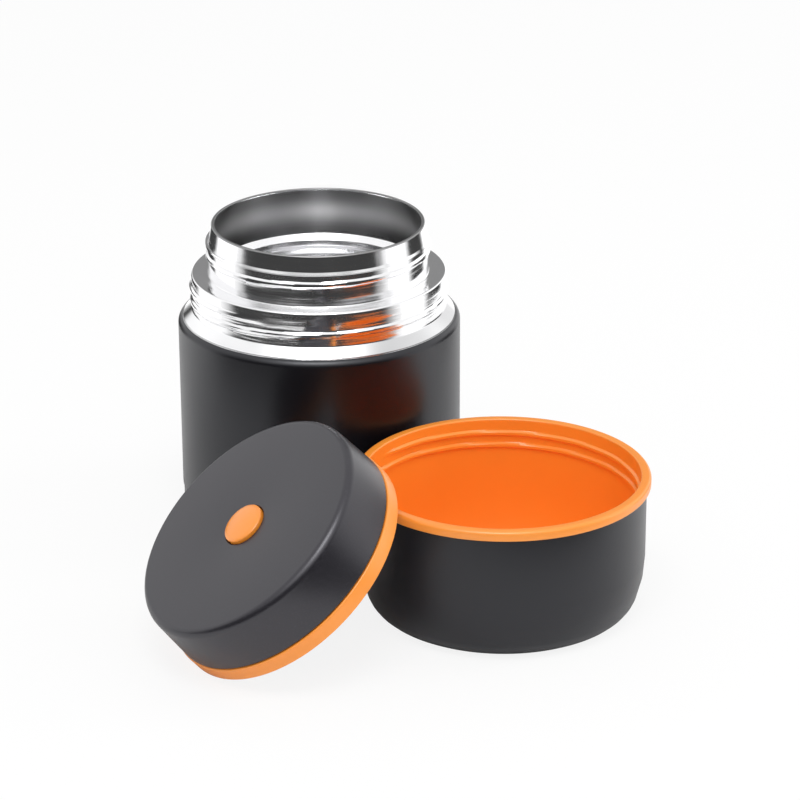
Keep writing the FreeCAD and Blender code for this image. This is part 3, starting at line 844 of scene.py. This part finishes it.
class FOODJAR_OT_foot(bpy.types.Operator):
    """The coated base cap below the seam, and the rubber foot with its grip rings"""
    bl_idname = "food_jar.foot"
    bl_label = "Base cap and foot"

    def execute(self, context):
        jar = context.scene.jar_sizes
        outside = JAR_RADIUS - jar.base_inset
        floor = jar.pad_thickness + jar.base_floor
        top = jar.seam_height - jar.seam_gap
        recess = PAD_RADIUS + GAP
        cap = turn("base_cap_skin", [
            (0, jar.pad_thickness),
            (recess, jar.pad_thickness),
            (recess, jar.base_lift, mm(0.2)),
            (outside, jar.base_lift, jar.base_round),
            (outside, top, mm(0.2)),
            (outside - jar.base_wall, top),
            (outside - jar.base_wall, floor, mm(0.6)),
            (0, floor),
        ])
        coat = matt_coating(
            "base_coating", JAR_PLACE, context.scene.finishes.coating, (jar.base_lift, top))
        finish_piece(cap, JAR_PLACE, "jar", ["base_cap"], coat)
        grooves = []
        for k in range(GRIP_RINGS):
            middle = PAD_RADIUS * (0.45 + 0.5 * k / GRIP_RINGS)
            grooves += [
                (middle - mm(0.6), 0), (middle - mm(0.3), mm(0.4)),
                (middle + mm(0.3), mm(0.4)), (middle + mm(0.6), 0),
            ]
        pad = turn("grip_pad", [
            (0, 0), *grooves, (PAD_RADIUS, 0, mm(0.3)),
            (PAD_RADIUS, jar.pad_thickness), (0, jar.pad_thickness),
        ])
        rubber = soft_rubber("foot_rubber", JAR_PLACE, context.scene.finishes.rubber, 0.62)
        finish_piece(pad, JAR_PLACE, "jar", ["base_pad"], rubber)
        return {"FINISHED"}


# Cup

def bowl_curve(cup, inset, top):
    """The cup's side from the middle of its floor up to a height, set in by a wall."""
    rise = cup.straight_from - cup.corner_radius
    spread = CUP_RADIUS - cup.base_radius
    side = (rise ** 2 + spread ** 2 - cup.corner_radius ** 2) / (2 * (spread - cup.corner_radius))
    side_centre = CUP_RADIUS - side
    tangent = math.degrees(math.atan2(-rise, cup.base_radius - side_centre))
    return [
        (0, inset),
        arc(cup.base_radius, cup.corner_radius, cup.corner_radius - inset, -90, tangent),
        arc(side_centre, cup.straight_from, side - inset, tangent, 0),
        (CUP_RADIUS - inset, top),
    ]


def reverse(items):
    return [item[::-1] if isinstance(item, list) else item for item in reversed(items)]


class FOODJAR_OT_cup(bpy.types.Operator):
    """The cup: a coated shell and an orange liner with its rim band and thread"""
    bl_idname = "food_jar.cup"
    bl_label = "Cup"

    def execute(self, context):
        cup = context.scene.cup_sizes
        under = CUP_HEIGHT - cup.band_height
        shell = turn("cup_skin", bowl_curve(cup, 0, under) + reverse(bowl_curve(cup, cup.shell_wall, under)))
        coat = matt_coating("cup_coating", CUP_PLACE, context.scene.finishes.coating, (under,))
        finish_piece(shell, CUP_PLACE, "cup", ["cup_shell"], coat)
        inset = cup.shell_wall + cup.wall_gap
        bore = CUP_RADIUS - inset - cup.liner_wall
        inside = bowl_curve(cup, inset + cup.liner_wall, CUP_HEIGHT)
        inside.insert(-1, rungs((bore, cup.straight_from + mm(8)), (bore, CUP_HEIGHT - mm(1.2))))
        inside[-1] = (bore, CUP_HEIGHT, mm(1.0))
        liner = turn("cup_lining", bowl_curve(cup, inset, under) + [
            (CUP_RIM_RADIUS, under, mm(0.6)),
            (CUP_RIM_RADIUS, CUP_HEIGHT, cup.band_round),
        ] + reverse(inside), steps=NECK_STEPS)
        pitch = context.scene.jar_sizes.lower_pitch
        roll_thread(
            liner, bore, -cup.thread_depth, cup.thread_height, pitch, *LINER_THREAD,
            turns=LINER_THREAD_TURNS, fade=INNER_THREAD_FADE)
        orange = moulded_plastic("liner_orange", CUP_PLACE, context.scene.finishes.orange, 0.72, shine=0.8)
        finish_piece(liner, CUP_PLACE, "cup", ["cup_liner"], orange)
        return {"FINISHED"}


# Stopper, measured along its own axis from the lower face of its orange ring

def button_edge_top(lid):
    return lid.cover_top + lid.button_rise


class FOODJAR_OT_stopper_ring(bpy.types.Operator):
    """The stopper's orange ring with its threaded skirt and deck"""
    bl_idname = "food_jar.stopper_ring"
    bl_label = "Stopper ring"

    def execute(self, context):
        lid = context.scene.lid_sizes
        skirt = lid.skirt_bore + lid.skirt_wall
        bead = skirt + mm(0.25)
        deck_bottom = lid.deck_top - lid.deck_wall
        bead_bottom = lid.deck_top - mm(2.0)
        ring = turn("stopper_ring", [
            (lid.skirt_bore, 0, lid.ring_round),
            (lid.ring_radius, 0, lid.ring_round),
            (lid.ring_radius, lid.ring_height, lid.ring_round),
            (skirt, lid.ring_height),
            (skirt, bead_bottom),
            (bead, bead_bottom),
            (bead, lid.deck_top, mm(0.3)),
            (GUIDE_RADIUS + FIT, lid.deck_top),
            (GUIDE_RADIUS + FIT, deck_bottom),
            (lid.skirt_bore, deck_bottom, mm(0.6)),
            rungs((lid.skirt_bore, deck_bottom - mm(0.8)), (lid.skirt_bore, lid.ring_round + mm(0.2))),
        ], steps=NECK_STEPS)
        pitch = context.scene.jar_sizes.upper_pitch
        roll_thread(
            ring, lid.skirt_bore, -lid.thread_depth, lid.thread_height, pitch, *RING_THREAD,
            fade=INNER_THREAD_FADE)
        orange = moulded_plastic("ring_orange", LID_PLACE, context.scene.finishes.orange, 0.72, shine=0.8)
        finish_piece(ring, LID_PLACE, "lid", ["lid_inner"], orange)
        return {"FINISHED"}


class FOODJAR_OT_stopper_cover(bpy.types.Operator):
    """The dark cover over the stopper, with the well that the button moves in"""
    bl_idname = "food_jar.stopper_cover"
    bl_label = "Stopper cover"

    def execute(self, context):
        lid = context.scene.lid_sizes
        foot = lid.ring_height + lid.cover_gap
        bore = lid.skirt_bore + lid.skirt_wall + GAP
        side = lid.ring_radius - lid.cover_inset
        well = lid.button_radius + lid.button_gap
        ceiling = lid.cover_top - lid.cover_deck
        cover = turn("stopper_cover", [
            (bore, foot, mm(0.3)),
            (side, foot, mm(0.4)),
            (side - lid.cover_taper, lid.cover_top, lid.cover_round),
            (well, lid.cover_top, mm(0.5)),
            (well, ceiling - lid.collar_depth),
            (well + lid.collar_wall, ceiling - lid.collar_depth),
            (well + lid.collar_wall, ceiling),
            (bore, ceiling, mm(1.0)),
        ])
        plastic = sparked_plastic("cover_plastic", LID_PLACE, context.scene.finishes.cover)
        finish_piece(cover, LID_PLACE, "lid", ["lid_cap"], plastic)
        return {"FINISHED"}


class FOODJAR_OT_stopper_plug(bpy.types.Operator):
    """The insulated plug, its lower cover with the valve well, and its seal"""
    bl_idname = "food_jar.stopper_plug"
    bl_label = "Stopper plug"

    def execute(self, context):
        lid = context.scene.lid_sizes
        finishes = context.scene.finishes
        deck_bottom = lid.deck_top - lid.deck_wall
        face_bottom = -lid.plug_drop
        face_top = face_bottom + lid.face_wall
        neck_inside = lid.plug_neck - lid.plug_wall
        step = lid.plug_shoulder + lid.plug_wall
        plug = turn("plug_wall", [
            (lid.plug_neck, face_top),
            (lid.plug_neck, lid.plug_shoulder),
            (lid.plug_radius, lid.plug_shoulder, mm(0.3)),
            (lid.plug_radius, deck_bottom),
            (lid.plug_radius - lid.plug_wall, deck_bottom),
            (lid.plug_radius - lid.plug_wall, step),
            (neck_inside, step),
            (neck_inside, face_top),
        ])
        grey = moulded_plastic("plug_plastic", LID_PLACE, finishes.plug, 0.60)
        finish_piece(plug, LID_PLACE, "lid", ["lid_plug"], grey)
        rim = lid.well_radius + RIM_WALL
        ceiling = WELL_CEILING + RIM_WALL
        tube_bore = SLEEVE_RADIUS + FIT
        tube = tube_bore + TUBE_WALL
        face = turn("plug_face", [
            (lid.well_radius, face_bottom, mm(0.4)),
            (lid.face_radius, face_bottom, mm(0.8)),
            (lid.face_radius, face_top, mm(0.3)),
            (rim, face_top),
            (rim, ceiling),
            (tube, ceiling),
            (tube, GUIDE_BASE),
            (tube_bore, GUIDE_BASE),
            (tube_bore, WELL_CEILING),
            (lid.well_radius, WELL_CEILING),
        ])
        finish_piece(face, LID_PLACE, "lid", ["plug_cover"], grey)
        inside = lid.plug_neck + FIT
        seal_radius = lid.plug_radius + mm(0.4)
        seal = turn("plug_seal", [
            (inside, mm(-1.2), mm(0.3)),
            (inside + mm(0.8), mm(-1.2), mm(0.4)),
            (seal_radius, lid.plug_shoulder - mm(1.0), mm(0.4)),
            (seal_radius, lid.plug_shoulder),
            (inside, lid.plug_shoulder),
        ])
        soft = soft_rubber("seal_silicone", LID_PLACE, finishes.silicone, 0.38)
        finish_piece(seal, LID_PLACE, "lid", ["plug_gasket"], soft)
        return {"FINISHED"}


class FOODJAR_OT_push_button(bpy.types.Operator):
    """The domed push button and the spring that returns it"""
    bl_idname = "food_jar.push_button"
    bl_label = "Push button"

    def execute(self, context):
        lid = context.scene.lid_sizes
        top = button_edge_top(lid)
        bevel = lid.button_radius - BUTTON_BEVEL
        rise = lid.button_dome - BUTTON_EDGE
        dome = (bevel ** 2 + rise ** 2) / (2 * rise)
        swing = math.degrees(math.asin(bevel / dome))
        underside = top - lid.button_top_wall
        skirt_bottom = top - lid.button_skirt
        crown = top + lid.button_dome - dome
        button = turn("button_dome", [
            [(dome * math.sin(math.radians(a)), crown + dome * math.cos(math.radians(a)))
             for a in (swing * k / DOME_STEPS for k in range(DOME_STEPS + 1))],
            (lid.button_radius, top, BUTTON_EDGE),
            (lid.button_radius, skirt_bottom, mm(0.2)),
            (lid.button_radius - BUTTON_WALL, skirt_bottom),
            (lid.button_radius - BUTTON_WALL, underside),
            (BOSS_RADIUS, underside),
            (BOSS_RADIUS, underside - BOSS_LENGTH),
            (STEM_RADIUS + FIT, underside - BOSS_LENGTH),
            (STEM_RADIUS + FIT, underside - STEM_TOP_GAP),
            (0, underside - STEM_TOP_GAP),
        ], steps=SMALL_TURN_STEPS)
        orange = moulded_plastic(
            "button_orange", LID_PLACE, context.scene.finishes.orange, 0.80, texture=0.05, shine=0.9)
        finish_piece(button, LID_PLACE, "button", ["push_button"], orange)
        spring_foot = GUIDE_BASE + GUIDE_WALL
        spring = wound_spring("return_spring", spring_foot, underside)
        steel = dull_metal("spring_steel", LID_PLACE, (0.62, 0.62, 0.63, 1), 0.22)
        finish_piece(spring, LID_PLACE, "button", ["valve_spring"], steel)
        LID_PLACE @ Vector((0, 0, underside))
        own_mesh(spring)
        return {"FINISHED"}


def wound_spring(name, bottom, top, wire=mm(0.8), radius=mm(4.3), turns=5.5):
    """A coil of round wire: a circle at its foot, wound upward by a screw modifier."""
    nothing_selected()
    bpy.ops.mesh.primitive_circle_add(
        vertices=10, radius=wire / 2, location=(radius, 0, bottom + wire / 2 + FIT),
        rotation=(math.radians(90), 0, 0))
    spring = bpy.context.object
    spring.name = spring.data.name = name
    bpy.ops.object.transform_apply(location=True, rotation=True, scale=True)
    wind = spring.modifiers.new("wind", "SCREW")
    wind.angle = math.tau * turns
    wind.screw_offset = top - bottom - wire - 2 * FIT
    wind.steps = wind.render_steps = round(28 * turns)
    bpy.ops.object.modifier_apply(modifier=wind.name)
    bpy.ops.object.mode_set(mode="EDIT")
    bpy.ops.mesh.select_all(action="DESELECT")
    bpy.ops.mesh.select_non_manifold()
    bpy.ops.mesh.fill_holes(sides=12)
    bpy.ops.mesh.select_all(action="SELECT")
    bpy.ops.mesh.normals_make_consistent(inside=False)
    bpy.ops.object.mode_set(mode="OBJECT")
    return spring


class FOODJAR_OT_inner_parts(bpy.types.Operator):
    """Finishes for the model's own parts that stay: those inside the jar and the stopper"""
    bl_idname = "food_jar.inner_parts"
    bl_label = "Inner parts"

    def execute(self, context):
        finishes = context.scene.finishes
        grey = moulded_plastic("guide_plastic", LID_PLACE, finishes.plug, 0.60)
        kinds = {
            "bottom_plate": vessel_steel("plate_steel", JAR_PLACE, finishes.steel),
            "vacuum_seal": dull_metal("solder", JAR_PLACE, (0.50, 0.50, 0.51, 1), 0.45),
            "getter": dull_metal("getter_metal", JAR_PLACE, (0.42, 0.42, 0.44, 1), 0.50),
            "plug_foam": set_foam("plug_foam", LID_PLACE, finishes.foam),
            "button_guide": grey,
            "valve_stem": grey,
            "valve_washer": soft_rubber("washer_silicone", LID_PLACE, finishes.silicone, 0.38),
        }
        for node, material in kinds.items():
            part = frame["nodes"][node]
            part.data.materials.clear()
            part.data.materials.append(material)
        return {"FINISHED"}


# Stage

def board_shade(name, start, end, soft, top):
    """A dark board whose ends and top fade, unevenly, into the pale room."""
    finish = Finish(name, JAR_PLACE)
    tree = finish.tree
    x, y, height = finish.parts(finish.here)
    uneven = finish.grain(3.2, detail=6.0, roughness=0.65) - 0.5
    angle = x.join("ARCTAN2", y * -1) + uneven * math.radians(2.2 * soft)
    first, last, edge = (math.radians(a) for a in (start, end, soft))
    inside = angle.between(first, first + edge) * (1 - angle.between(last - edge, last))
    cover = inside * (1 - (height + uneven * 0.2).between(top * 0.5, top * 0.95))
    tree.nodes.remove(finish.shader)
    glow = tree.nodes.new("ShaderNodeEmission")
    tree.links.new((1 - cover * (1 - BOARD_TONE)).socket, glow.inputs["Strength"])
    tree.links.new(glow.outputs[0], tree.nodes["Material Output"].inputs["Surface"])
    return finish.material


def floor_shade():
    """White paper that keeps a soft shadow, and shows as white in polished steel."""
    finish = Finish("floor_paper", JAR_PLACE)
    tree = finish.tree
    path = tree.nodes.new("ShaderNodeLightPath")
    seen = Value(tree, path.outputs["Is Camera Ray"])
    mirrored = Value(tree, path.outputs["Is Glossy Ray"]) * finish.radius.between(0.12, 0.30)
    tree.nodes.remove(finish.shader)
    paper = tree.nodes.new("ShaderNodeBsdfDiffuse")
    paper.inputs["Color"].default_value = (0.94, 0.94, 0.94, 1)
    white = tree.nodes.new("ShaderNodeEmission")
    tree.links.new((mirrored * 0.35 + 1).socket, white.inputs["Strength"])
    mix = tree.nodes.new("ShaderNodeMixShader")
    tree.links.new((seen * 0.86 + mirrored).socket, mix.inputs["Fac"])
    tree.links.new(paper.outputs[0], mix.inputs[1])
    tree.links.new(white.outputs[0], mix.inputs[2])
    tree.links.new(mix.outputs[0], tree.nodes["Material Output"].inputs["Surface"])
    return finish.material


def paper_floor(size):
    nothing_selected()
    bpy.ops.mesh.primitive_plane_add(size=size, location=(0, 0, mm(-0.05)))
    floor = bpy.context.object
    floor.name = floor.data.name = "floor"
    bpy.ops.object.transform_apply(location=True, rotation=True, scale=True)
    return floor


def curved_board(name, start, end, inner, top):
    """A board that lies on the floor and stands up further out, swept part of the way round."""
    turned = math.radians(start - 90)
    direction = Vector((math.cos(turned), math.sin(turned), 0))
    nothing_selected()
    bpy.ops.mesh.primitive_plane_add(size=mm(1), location=direction * inner + Vector((0, 0, mm(1))))
    board = bpy.context.object
    board.name = board.data.name = name
    bpy.ops.object.mode_set(mode="EDIT")
    bpy.ops.mesh.merge(type="CENTER")
    for move in (direction * (BOARD_OUTER - inner), Vector((0, 0, top))):
        bpy.ops.mesh.extrude_region_move(TRANSFORM_OT_translate={"value": move})
    bpy.ops.mesh.select_all(action="SELECT")
    bpy.ops.mesh.spin(steps=36, angle=-math.radians(end - start), center=(0, 0, 0), axis=(0, 0, 1))
    bpy.ops.object.mode_set(mode="OBJECT")
    bpy.ops.object.transform_apply(location=True, rotation=True, scale=True)
    return board


def lamp(name, watts, width, depth, place, target):
    bpy.ops.object.light_add(type="AREA", location=place)
    light = bpy.context.object
    light.name = name
    light.data.shape = "RECTANGLE"
    light.data.size = width
    light.data.size_y = depth
    light.data.energy = watts
    light.rotation_euler = (Vector(target) - Vector(place)).to_track_quat("-Z", "Y").to_euler()
    return light


class FOODJAR_OT_stage(bpy.types.Operator):
    """White paper, soft lamps, dark boards for the steel to mirror, and the camera"""
    bl_idname = "food_jar.stage"
    bl_label = "Stage"

    def execute(self, context):
        studio = context.scene.studio
        floor = paper_floor(FLOOR_SIZE)
        floor.data.materials.append(floor_shade())
        for name, start, end, soft, inner, top in BOARDS:
            board = curved_board(name, start, end, inner, top)
            board.data.materials.append(board_shade(name + "_shade", start, end, soft, top))
            board.visible_camera = False
            board.visible_diffuse = False
            board.visible_shadow = False
            board.visible_transmission = False
        self.light(context, studio)
        self.aim(context, studio)
        context.scene.view_settings.view_transform = "Standard"
        return {"FINISHED"}

    def light(self, context, studio):
        lamp("key_lamp", studio.key, *KEY_LAMP, SET_MIDDLE)
        side = lamp("side_lamp", studio.fill, *SIDE_LAMP, SET_MIDDLE)
        side.visible_glossy = False
        world = bpy.data.worlds.new("studio")
        context.scene.world = world
        world.use_nodes = True
        tree = world.node_tree
        path = tree.nodes.new("ShaderNodeLightPath")
        seen = Value(tree, path.outputs["Is Camera Ray"])
        mirrored = Value(tree, path.outputs["Is Glossy Ray"])
        through = Value(tree, path.outputs["Is Transmission Ray"])
        lit = (seen + mirrored + through).join("MINIMUM", 1.0)
        direction = tree.nodes.new("ShaderNodeTexCoord").outputs["Generated"]
        split = tree.nodes.new("ShaderNodeSeparateXYZ")
        tree.links.new(direction, split.inputs[0])
        climb = Value(tree, split.outputs["Z"])
        x, y = (Value(tree, split.outputs[k]) for k in "XY")
        angle = x.join("ARCTAN2", y * -1) * math.degrees(1)
        right = angle.between(60, 90) * (1 - angle.between(146, 166))
        left = (angle * -1).between(60, 90) * (1 - (angle * -1).between(148, 168))
        wall = climb.between(0.05, 0.16) * (1 - climb.between(0.50, 0.75))
        front = (1 - angle.join("ABSOLUTE").between(25, 75)) * climb.between(0.42, 0.62)
        front = front * (1 - climb.between(0.86, 0.97))
        dim = wall * (1 - right - left) * (1 - studio.wall_tone)
        glow = (right * studio.right_glow + left * studio.left_glow) * (1 - climb.between(0.40, 0.80))
        room = 1 - dim * (1 - front) + front * studio.window + glow
        strength = lit * (seen + (1 - seen) * room - studio.sky) + studio.sky
        sky = tree.nodes["Background"]
        sky.inputs["Color"].default_value = (1, 1, 1, 1)
        tree.links.new(strength.socket, sky.inputs["Strength"])

    def aim(self, context, studio):
        bpy.ops.object.camera_add(location=studio.camera_place)
        camera = context.object
        camera.name = "camera"
        camera.rotation_euler = (
            Matrix.Rotation(math.radians(90) - studio.camera_pitch, 3, "X")
            @ Matrix.Rotation(studio.camera_roll, 3, "Z")
        ).to_euler()
        camera.data.sensor_width = 36
        camera.data.lens = studio.focal_length
        context.scene.camera = camera


SIZES = {
    "jar_sizes": JarSizes,
    "cup_sizes": CupSizes,
    "lid_sizes": LidSizes,
    "finishes": Finishes,
    "studio": Studio,
}
OPERATORS = [
    FOODJAR_OT_stage,
    FOODJAR_OT_coated_shell,
    FOODJAR_OT_steel_neck,
    FOODJAR_OT_steel_vessel,
    FOODJAR_OT_foot,
    FOODJAR_OT_cup,
    FOODJAR_OT_stopper_ring,
    FOODJAR_OT_stopper_cover,
    FOODJAR_OT_stopper_plug,
    FOODJAR_OT_push_button,
    FOODJAR_OT_inner_parts,
]


class FOODJAR_PT_pieces(bpy.types.Panel):
    """Buttons for each piece, and the sizes and colours that they use"""
    bl_idname = "FOODJAR_PT_pieces"
    bl_label = "Food jar"
    bl_space_type = "VIEW_3D"
    bl_region_type = "UI"
    bl_category = "Food jar"

    def draw(self, context):
        for operator in OPERATORS:
            self.layout.operator(operator.bl_idname)
        for name, group in SIZES.items():
            box = self.layout.box()
            box.label(text=group.__name__)
            for size in group.__annotations__:
                box.prop(getattr(context.scene, name), size)


def register():
    for kind in [*SIZES.values(), *OPERATORS, FOODJAR_PT_pieces]:
        bpy.utils.register_class(kind)
    for name, group in SIZES.items():
        setattr(bpy.types.Scene, name, bpy.props.PointerProperty(type=group))


def unregister():
    for name in SIZES:
        delattr(bpy.types.Scene, name)
    for kind in [FOODJAR_PT_pieces, *reversed(OPERATORS), *reversed(SIZES.values())]:
        bpy.utils.unregister_class(kind)


def main():
    register()
    for operator in OPERATORS:
        family, name = operator.bl_idname.split(".")
        getattr(getattr(bpy.ops, family), name)()


if __name__ == "__main__":
    main()
